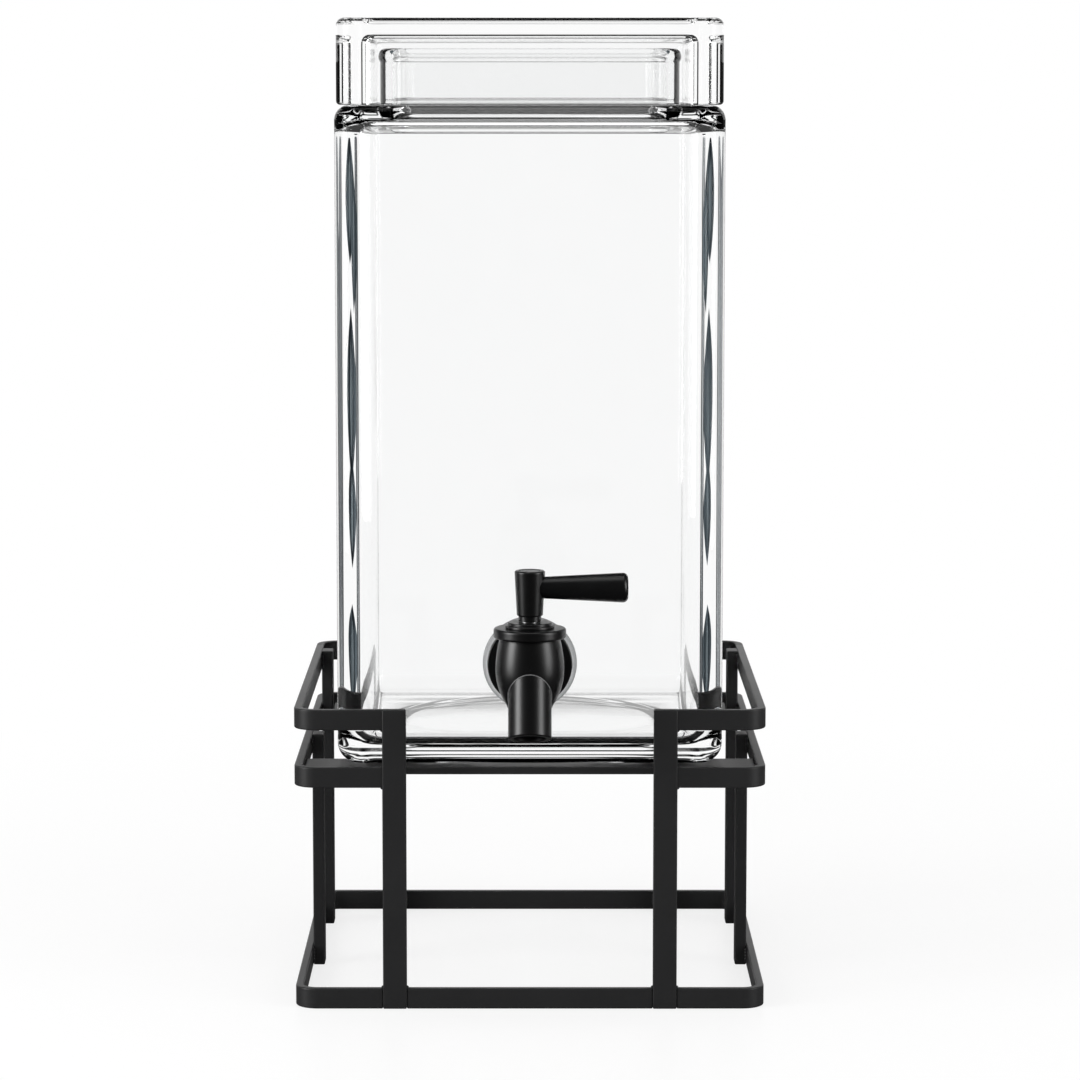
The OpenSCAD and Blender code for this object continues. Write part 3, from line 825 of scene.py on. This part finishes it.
NUT_TURNED, NUT_FACE_IN, NUT_CONE = 1.06, 0.6, 1.7
NUT_LEVELS = np.array([0, 0, 0.3, 0.8, 1.6])
nut_low, nut_high, _ = place("lock_nut")
nut_t = nut_high[1] - nut_low[1]
nut_flat = min(nut_high[0] - nut_low[0], nut_high[2] - nut_low[2]) / 2
h = np.concatenate([NUT_LEVELS, nut_t - NUT_LEVELS[::-1]])[:, None]
from_face = np.minimum(h, nut_t - h)
hexagon = nut_flat / np.cos((angle + math.pi / 6) % (math.pi / 3) - math.pi / 6)
nut_r = np.minimum(hexagon, nut_flat * NUT_TURNED - NUT_FACE_IN + NUT_CONE * from_face)
nut_r[[0, -1]] = shank_r + AIR
nut_rows = around_shank(nut_r, h + np.zeros_like(nut_r) + nut_low[1] - shank_low[1])
add_piece(grid_object("hex_lock_nut", [nut_rows], ring=True), steel_finish, "vessel", "steel", "lock_nut")


# %% [markdown]
# ## The valve body
# The body is barrel shaped: an arc over the belly and a tighter one below it. A round neck joins it to the
# cover disc. Both are turned shapes, so the lathe formula makes them, and they simply run into each other.

# %% Valve body
bonnet_low, bonnet_high, bonnet_mid = place("bonnet")
VALVE_Y = bonnet_mid[1]
BODY_D, BODY_TOP_D, BODY_FOOT_D, BELLY_UP, NECK_D = 32.7, 28.8, 20.0, 1.5, 21.0
BONNET_PLUG_H, BARREL_ROWS, NECK_FLARE, NECK_CLEAR = 5.0, 60, 1.5, 0.2
axis_z = shank_mid[2]
valve = np.array([0, VALVE_Y, 0])
belly_z = axis_z + BELLY_UP
body_top_z = bonnet_low[2] + BONNET_PLUG_H
body_foot_z = place("tap_body")[0][2]


def body_radius(z):
    """Radius of the barrel: an arc from the belly up to the top, and a tighter one down to the foot."""
    run = np.where(z > belly_z, body_top_z - belly_z, belly_z - body_foot_z)
    sag = np.where(z > belly_z, BODY_D - BODY_TOP_D, BODY_D - BODY_FOOT_D) / 2
    arc = (run ** 2 + sag ** 2) / (2 * sag)
    return BODY_D / 2 - arc + np.sqrt(np.maximum(arc ** 2 - (z - belly_z) ** 2, 0))


FOOT_ROUND, FOOT_IN, FOOT_SHARE = 1.6, 0.6, 0.6
wall_z = np.linspace(body_foot_z + FOOT_ROUND, body_top_z, BARREL_ROWS)
wall = np.column_stack([body_radius(wall_z), wall_z])
barrel_foot = (body_radius(body_foot_z + FOOT_ROUND) - FOOT_IN, body_foot_z)
foot = outline([(0, body_foot_z), barrel_foot, tuple(wall[0])], [0, FOOT_ROUND * FOOT_SHARE, 0])[:-1]
barrel = np.vstack([foot, wall, [(0, body_top_z)]])
neck_y = (VALVE_Y, place("escutcheon")[0][1])
neck = outline([(0, neck_y[0]), (NECK_D / 2, neck_y[0]), (NECK_D / 2, neck_y[1] - NECK_FLARE),
                (NECK_D / 2 + NECK_FLARE, neck_y[1] - NECK_CLEAR), (0, neck_y[1] - NECK_CLEAR)],
               [0, 0, NECK_FLARE, 0, 0])
body_grids = [lathe(barrel, valve, Z_AXIS), lathe(neck, np.array([0, 0, axis_z]), Y_AXIS)]
body_piece = grid_object("barrel_tap_body", body_grids)
add_piece(body_piece, tap_finish, "vessel", "tap_black", "tap_body")


# %% [markdown]
# ## The spout
# The spout is a straight tube that leans forwards and runs into the belly, and the joint shows as a fine
# raised line. That line is where the tube's surface meets the body's, found by halving steps along the tube,
# for all angles at once.

# %% Spout
SPOUT_D, SPOUT_WALL, SPOUT_LEAN, SPOUT_FRONT, SPOUT_DOWN = 20.6, 2.7, math.radians(20), 16.9, 31.0
SPOUT_HIDDEN, HIDDEN_R, LIP_R, SEAM_R = 7.0, 1.0, 0.8, 0.28
SEAM_STEPS, SEAM_SIDES, HALVINGS = 160, 10, 40
spout_r = SPOUT_D / 2
down = np.array([0, -math.sin(SPOUT_LEAN), -math.cos(SPOUT_LEAN)])
spout_base = np.array([0, VALVE_Y - SPOUT_FRONT + spout_r / math.cos(SPOUT_LEAN), axis_z])
bore_r = spout_r - SPOUT_WALL
tube = outline([(0, -SPOUT_HIDDEN), (spout_r, -SPOUT_HIDDEN), (spout_r, SPOUT_DOWN), (bore_r, SPOUT_DOWN),
                (bore_r, 0), (0, 0)], [0, HIDDEN_R, LIP_R, LIP_R, HIDDEN_R, 0])
spout_grid = lathe(tube, spout_base, down)

seam_angle = np.linspace(0, 2 * math.pi, SEAM_STEPS, endpoint=False)[:, None]
across, along = frame_across(down)
spoke = across * np.cos(seam_angle) + along * np.sin(seam_angle)
inner_end = np.full((len(seam_angle), 1), -SPOUT_HIDDEN)
outer_end = np.full((len(seam_angle), 1), SPOUT_DOWN)
for _ in range(HALVINGS):
    trial = (inner_end + outer_end) / 2
    spot = spout_base + spoke * spout_r + down * trial
    buried = np.hypot(spot[:, 0], spot[:, 1] - VALVE_Y) < body_radius(spot[:, 2])
    buried &= spot[:, 2] > body_foot_z
    inner_end = np.where(buried[:, None], trial, inner_end)
    outer_end = np.where(buried[:, None], outer_end, trial)
seam = spout_base + spoke * spout_r + down * inner_end
ahead = np.roll(seam, -1, axis=0) - np.roll(seam, 1, axis=0)
ahead /= np.linalg.norm(ahead, axis=1)[:, None]
lift = np.cross(ahead, spoke)
turn = np.linspace(0, 2 * math.pi, SEAM_SIDES, endpoint=False)[None, :, None]
seam_grid = seam[:, None] + SEAM_R * (spoke[:, None] * np.cos(turn) + lift[:, None] * np.sin(turn))
spout_piece = grid_object("leaning_spout", [spout_grid])
add_piece(spout_piece, tap_finish, "vessel", "tap_black", "spout")
seam_piece = grid_object("spout_seam", [seam_grid], ring=True)
# The seam's paler coat is a painted highlight along the joint.
add_piece(seam_piece, seam_highlight_finish, "vessel", "tap_black")


# %% [markdown]
# ## Bonnet and gland
# The bonnet closes the valve from above, and a stepped gland ring holds the stem's seal. Both are turned,
# with edges just broken, so the lathe formula makes them from a few corners each.

# %% Bonnet and gland
STEM_R, BONNET_STEP, BONNET_LIFT = 4.6, 0.6, 0.4
BONNET_EDGES = [0, 0, 0, 0.9, 1.1, 0]
bonnet_r = (bonnet_high[0] - bonnet_low[0]) / 2
seat_r, seat_z = BODY_TOP_D / 2 - BONNET_STEP, body_top_z + BONNET_LIFT
bonnet = outline([(STEM_R, body_top_z), (seat_r, body_top_z), (seat_r, seat_z), (bonnet_r, seat_z),
                  (bonnet_r, bonnet_high[2]), (STEM_R, bonnet_high[2])], BONNET_EDGES)
add_piece(grid_object("turned_bonnet", [lathe(bonnet, valve, Z_AXIS)], ring=True),
          tap_finish, "vessel", "tap_black", "bonnet")

GLAND_STEP = 1.1
GLAND_EDGES = [0, 0.2, 0.45, 0.2, 0.5, 0]
gland_low, gland_high, gland_mid = place("gland")
gland_r = (gland_high[0] - gland_low[0]) / 2
upper_r, gland_foot_z = gland_r - GLAND_STEP, gland_low[2] + AIR
gland = outline([(STEM_R, gland_foot_z), (gland_r, gland_foot_z), (gland_r, gland_mid[2]),
                 (upper_r, gland_mid[2]), (upper_r, gland_high[2]), (STEM_R, gland_high[2])], GLAND_EDGES)
add_piece(grid_object("stepped_gland", [lathe(gland, valve, Z_AXIS)], ring=True),
          tap_finish, "vessel", "tap_black", "gland")


# %% [markdown]
# ## Handle
# The hub tapers down to a collar on the stem, and a flat cap hides its screw. The lever is a cone that swells
# to a rounded tip. All of it turns with the valve's plug, so these pieces ride on the handle.

# %% Hub, cap and lever
HUB_COLLAR_D, HUB_COLLAR_H, HUB_FOOT_D, HUB_TOP_D = 10.8, 2.8, 12.4, 14.6
HUB_EDGES = [0, 0.3, 0.3, 0.5, 0.9, 0.2, 0, 0]
CAP_GAP, CAP_SUNK, CAP_EDGE = 0.2, 0.1, 0.3
LEVER_ROOT_D, LEVER_TIP_R, LEVER_START, LEVER_STEPS = 9.9, 2.6, 2.0, 12


def handle_piece(name, node, profile, base, axis):
    """A turned piece of the handle in the tap's finish, in place of its node."""
    add_piece(grid_object(name, [lathe(profile, base, axis)]), tap_finish, "handle", "tap_black", node)


hub_low, hub_high, _ = place("handle_hub")
cap_low, cap_high, _ = place("hub_cap")
cap_r = (cap_high[0] - cap_low[0]) / 2
pocket_r = cap_r + CAP_GAP
hub_foot_z = hub_low[2] + HUB_COLLAR_H
hub = outline([(0, hub_low[2]), (HUB_COLLAR_D / 2, hub_low[2]), (HUB_COLLAR_D / 2, hub_foot_z),
               (HUB_FOOT_D / 2, hub_foot_z), (HUB_TOP_D / 2, hub_high[2]), (pocket_r, hub_high[2]),
               (pocket_r, cap_low[2]), (0, cap_low[2])], HUB_EDGES)
handle_piece("tapered_hub", "handle_hub", hub, valve, Z_AXIS)

cap_foot_z, cap_top_z = cap_low[2] + AIR, cap_high[2] - CAP_SUNK
cap = outline([(0, cap_foot_z), (cap_r, cap_foot_z), (cap_r, cap_top_z), (0, cap_top_z)], [0, 0, CAP_EDGE, 0])
handle_piece("flat_hub_cap", "hub_cap", cap, valve, Z_AXIS)

lever_low, lever_high, lever_mid = place("lever")
lever_r = (lever_high[2] - lever_low[2]) / 2
lever = outline([(0, LEVER_START), (LEVER_ROOT_D / 2, LEVER_START), (lever_r, lever_high[0]),
                 (0, lever_high[0])], [0, 0, LEVER_TIP_R, 0], LEVER_STEPS)
lever_base = np.array([0, VALVE_Y, lever_mid[2]])
handle_piece("tapered_lever", "lever", lever, lever_base, X_AXIS)


# %% [markdown]
# ## Pieces inside the valve
# The plug, its seal ring and the hub's screw are closed in by the tap, so they keep the construction's own
# shape. They still get a finish, because a finished part is finished inside too.

# %% Inner pieces
inner_finish = {"valve_plug": steel_finish, "handle_screw": steel_finish, "stem_seal": washer_finish}
for node, finish in inner_finish.items():
    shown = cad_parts[node]
    shown.data.materials.clear()
    shown.data.materials.append(finish)
    print(node, "in", finish.name)


# %% [markdown]
# ## Studio surroundings
# Clear glass shows only what stands around it. A glass photographer puts a white field behind it, so that the
# glass stays bright, and something dark beside it to draw its edges. Here the world is the white field: the
# camera sees white, and so does light that passes through glass, except high up, where a dim ceiling draws
# dark lines under the lid. Shiny surfaces see a dim room, with a brighter field behind the jar.

# %% Studio surroundings
FILL, ROOM, CEILING_UP, CEILING_DIM = 0.55, 0.05, 0.33, 0.05
BEHIND, FIELD_HIGH, FIELD_LOW = 0.6, 0.95, 0.12
world = bpy.data.worlds.new("studio")
bpy.context.scene.world = world
world.use_nodes = True
world.node_tree.nodes.clear()
tree = world.node_tree
ray = make_node(tree, "ShaderNodeLightPath")
toward = make_node(tree, "ShaderNodeSeparateXYZ", {}, {0: make_node(tree, "ShaderNodeTexCoord")["Generated"]})
ceiling = toward["Z"] > CEILING_UP
through_glass = ray["Is Transmission Ray"] * (1.0 - ceiling * (1.0 - CEILING_DIM))
field = (toward["Y"] > BEHIND) * ((toward["Z"] > 0.0) * (FIELD_HIGH - FIELD_LOW) + (FIELD_LOW - ROOM))
shiny = ray["Is Glossy Ray"] * (1.0 - ray["Is Transmission Ray"]) * (field + ROOM)
level = ray["Is Camera Ray"] + through_glass + shiny + ray["Is Diffuse Ray"] * FILL
backdrop = make_node(tree, "ShaderNodeBackground", {}, {"Color": (1, 1, 1, 1), "Strength": level})
make_node(tree, "ShaderNodeOutputWorld", {}, {"Surface": backdrop["Background"]})
print("studio with a fill of", FILL, "and a room of", ROOM)


# %% [markdown]
# ## Dark cards
# The dark cards stand in a ring, at the bearings that the jar's round corners look at: pointed leaves with a
# paler core, and narrow black and grey strips. A card like that would also show straight through the jar from
# other sides. So its board is clear, except to light that was turned back inside the glass at least once.

# %% Dark cards
CORE_RING, CARD_RING, BACK_RING = 594.0, 600.0, 606.0
CORE_WIDE, CORE_TALL = 0.26, 0.7
WIDE_STREAKS, FINE_STREAKS, STREAK_DRAWN = 16.0, 44.0, 0.2
# Bearing and half angle in degrees, then the lowest and highest point in millimetres
LEAVES = ((168.0, 16.0, 330.0, 412.0), (181.0, 8.0, 301.0, 387.0), (170.0, 16.0, 193.0, 304.0),
          (171.0, 13.0, 142.0, 212.0), (170.0, 16.0, 53.0, 120.0))
BLACK_STRIPS = ((137.4, 1.0), (185.0, 0.6), (188.6, 0.9))
GREY_STRIPS = ((135.0, 2.3), (186.6, 2.6))
LEAF_POINT, STRIP_BLUNT, STRIP_TOP, CARD_ROWS = 2, 12, 424.0, 41
LID_CARD_BEARING, LID_CARD_HALF, LID_CARD_LOW, LID_CARD_TOP = 187.0, 3.5, 430.0, 484.0


def streaked_card(name, dark, pale, streaks=WIDE_STREAKS):
    """Matt board with upright streaks of two tones, seen only by light turned back inside the glass."""
    finish, tree, where = new_finish(name)
    turned_back = make_node(tree, "ShaderNodeLightPath")["Glossy Depth"] > 0.5
    upright = {"Vector": where, "Scale": (1, 1, STREAK_DRAWN)}
    drawn = make_node(tree, "ShaderNodeMapping", {}, upright)["Vector"]
    streak = make_node(tree, "ShaderNodeMapRange", {},
                       {"Value": noise(tree, drawn, streaks), "From Min": 0.35, "From Max": 0.65})["Result"]
    board = make_node(tree, "ShaderNodeBsdfPrincipled", {}, {
        "Base Color": two_tone(tree, streak, dark, pale),
        "Roughness": 0.85 + streak * 0.1,
        "Specular IOR Level": 0.0,
    })
    clear = make_node(tree, "ShaderNodeBsdfTransparent")
    mix = make_node(tree, "ShaderNodeMixShader", {}, {0: turned_back, 1: clear["BSDF"], 2: board["BSDF"]})
    make_node(tree, "ShaderNodeOutputMaterial", {}, {"Surface": mix["Shader"]})
    return finish


def card(bearing, half_angle, low, high, blunt, ring=CARD_RING):
    """Two upright cards, left and right: half width w (1 - |t|^blunt) at a height t from -1 to 1."""
    t = np.linspace(-1, 1, CARD_ROWS)
    half = ring * math.tan(math.radians(half_angle)) * (1 - np.abs(t) ** blunt)
    height = (low + high) / 2 + t * (high - low) / 2
    turn = math.radians(bearing)
    mirror = np.array([(1, 1, 0), (-1, 1, 0)])
    out = mirror * (math.cos(turn), math.sin(turn), 0)
    across = mirror * (-math.sin(turn), math.cos(turn), 0)
    middle = out[:, None] * ring + Z_AXIS * height[:, None]
    edge = across[:, None] * half[:, None]
    return list(np.stack([middle - edge, middle + edge], axis=2))


def hang_cards(name, grids, finish):
    """A set of cards that only light inside the glass can see."""
    made = grid_object(name, grids)
    made.data.materials.append(finish)
    made.visible_camera = made.visible_diffuse = made.visible_shadow = made.visible_glossy = False
    print(len(grids), name)


black_grids = card(LID_CARD_BEARING, LID_CARD_HALF, LID_CARD_LOW, LID_CARD_TOP, STRIP_BLUNT)
for bearing, half_angle in BLACK_STRIPS:
    black_grids += card(bearing, half_angle, 0, STRIP_TOP, STRIP_BLUNT)
grey_grids = []
for bearing, half_angle in GREY_STRIPS:
    grey_grids += card(bearing, half_angle, 0, STRIP_TOP, STRIP_BLUNT, BACK_RING)
leaf_grids, core_grids = [], []
for bearing, half_angle, low, high in LEAVES:
    leaf_grids += card(bearing, half_angle, low, high, LEAF_POINT)
    middle, reach = (low + high) / 2, (high - low) / 2 * CORE_TALL
    core_angle = half_angle * CORE_WIDE
    core_grids += card(bearing, core_angle, middle - reach, middle + reach, LEAF_POINT, CORE_RING)
black_card = streaked_card("black_card", (0.004, 0.005, 0.006), (0.01, 0.012, 0.014))
grey_card = streaked_card("grey_card", (0.1, 0.11, 0.12), (0.4, 0.42, 0.43))
leaf_card = streaked_card("leaf_card", (0.008, 0.011, 0.014), (0.12, 0.15, 0.17))
core_card = streaked_card("core_card", (0.015, 0.02, 0.024), (0.24, 0.285, 0.31), FINE_STREAKS)
hang_cards("black_strips", black_grids, black_card)
hang_cards("grey_strips", grey_grids, grey_card)
hang_cards("leaves", leaf_grids, leaf_card)
hang_cards("leaf_cores", core_grids, core_card)


# %% [markdown]
# ## Floor
# The table top is as white as the backdrop, so no horizon shows. Near the object a share of a real surface is
# mixed in, which takes the shadow and a faint reflection, and that share fades out with the distance.

# %% Floor
FLOOR_HALF = 9.0
SHADOW_SHARE, SHADOW_START, SHADOW_REACH = 0.22, 0.15, 0.75


def pale_floor():
    """White table top: near the object it takes shadow and a faint reflection, further out it is white."""
    finish, tree, where = new_finish("pale_floor")
    ray = make_node(tree, "ShaderNodeLightPath")
    grain = noise(tree, where, 90.0)
    table = make_node(tree, "ShaderNodeBsdfPrincipled", {}, {
        "Base Color": two_tone(tree, grain, (0.88, 0.88, 0.88), (0.91, 0.91, 0.91)),
        "Roughness": 0.32 + grain * 0.06,
        "Specular IOR Level": 0.3,
    })
    white = make_node(tree, "ShaderNodeEmission", {}, {"Color": (1, 1, 1, 1), "Strength": 1.0})
    away = make_node(tree, "ShaderNodeVectorMath", {"operation": "LENGTH"}, {0: where})["Value"]
    fade = {"Value": away, "From Min": SHADOW_START, "From Max": SHADOW_REACH, "To Min": 1.0, "To Max": 0.0}
    near = make_node(tree, "ShaderNodeMapRange", {"interpolation_type": "SMOOTHSTEP"}, fade)["Result"]
    seen = ray["Is Camera Ray"] + ray["Is Glossy Ray"] + ray["Is Transmission Ray"]
    shown = seen.math("MINIMUM", seen, 1.0) * (1.0 - near * SHADOW_SHARE)
    mix = make_node(tree, "ShaderNodeMixShader", {}, {0: shown, 1: table["BSDF"], 2: white["Emission"]})
    make_node(tree, "ShaderNodeOutputMaterial", {}, {"Surface": mix["Shader"]})
    return finish


floor_mesh = bpy.data.meshes.new("floor")
floor_corners = np.array([(-1, -1, 0), (1, -1, 0), (1, 1, 0), (-1, 1, 0)]) * FLOOR_HALF
floor_mesh.from_pydata(floor_corners, [], [(0, 1, 2, 3)])
floor_mesh.materials.append(pale_floor())
floor = bpy.data.objects.new("floor", floor_mesh)
bpy.context.scene.collection.objects.link(floor)
floor.visible_glossy = False
print("floor", 2 * FLOOR_HALF, "m wide")


# %% [markdown]
# ## Lamps
# Two tall soft boxes stand in front, left and right, and draw the long highlights on the black tap. A wide
# one above lights the stand's upper edges.

# %% Lamps
def soft_box(name, where, target, size, watts):
    """A rectangular soft lamp at a place in metres, turned to its target."""
    lamp = bpy.data.lights.new(name, "AREA")
    lamp.shape = "RECTANGLE"
    lamp.size, lamp.size_y = size
    lamp.energy = watts
    holder = bpy.data.objects.new(name, lamp)
    aim = np.array(target) - np.array(where)
    holder.location = where
    tilt = math.atan2(np.hypot(aim[0], aim[1]), -aim[2])
    holder.rotation_euler = (tilt, 0, math.atan2(aim[1], aim[0]) - math.pi / 2)
    bpy.context.scene.collection.objects.link(holder)
    holder.visible_camera = False


TARGET = (0, 0, 0.22)
LAMPS = {
    "box_left": ((-1.75, -0.75, 0.7), (0.8, 1.5), 36),
    "box_right": ((1.7, -0.85, 0.7), (0.7, 1.5), 22),
    "box_top": ((0, -0.2, 2.2), (1.6, 1.2), 8),
}
for name, (where, size, watts) in LAMPS.items():
    soft_box(name, where, TARGET, size, watts)
print(len(LAMPS), "soft boxes")


# %% [markdown]
# ## Camera
# The camera stands two metres off, level with the lid, and looks down a little. A long lens keeps the upright
# edges of the jar almost parallel.

# %% Camera
SENSOR_WIDE, FOCAL_LENGTH, SIDE_SHIFT = 36, 129.8, 0.0094
CAMERA_PLACE = (0, -1.957, 0.455)
CAMERA_DOWN = math.radians(7.0)
lens = bpy.data.cameras.new("camera")
lens.sensor_width = SENSOR_WIDE
lens.lens = FOCAL_LENGTH
lens.shift_x = SIDE_SHIFT
camera = bpy.data.objects.new("camera", lens)
camera.location = CAMERA_PLACE
camera.rotation_euler = (math.pi / 2 - CAMERA_DOWN, 0, 0)
bpy.context.scene.collection.objects.link(camera)
bpy.context.scene.camera = camera
bpy.context.scene.view_settings.view_transform = "Standard"
print("camera at", CAMERA_PLACE)


# %% [markdown]
# The view layer is updated before the scene is closed.

# %% Finish
bpy.context.view_layer.update()
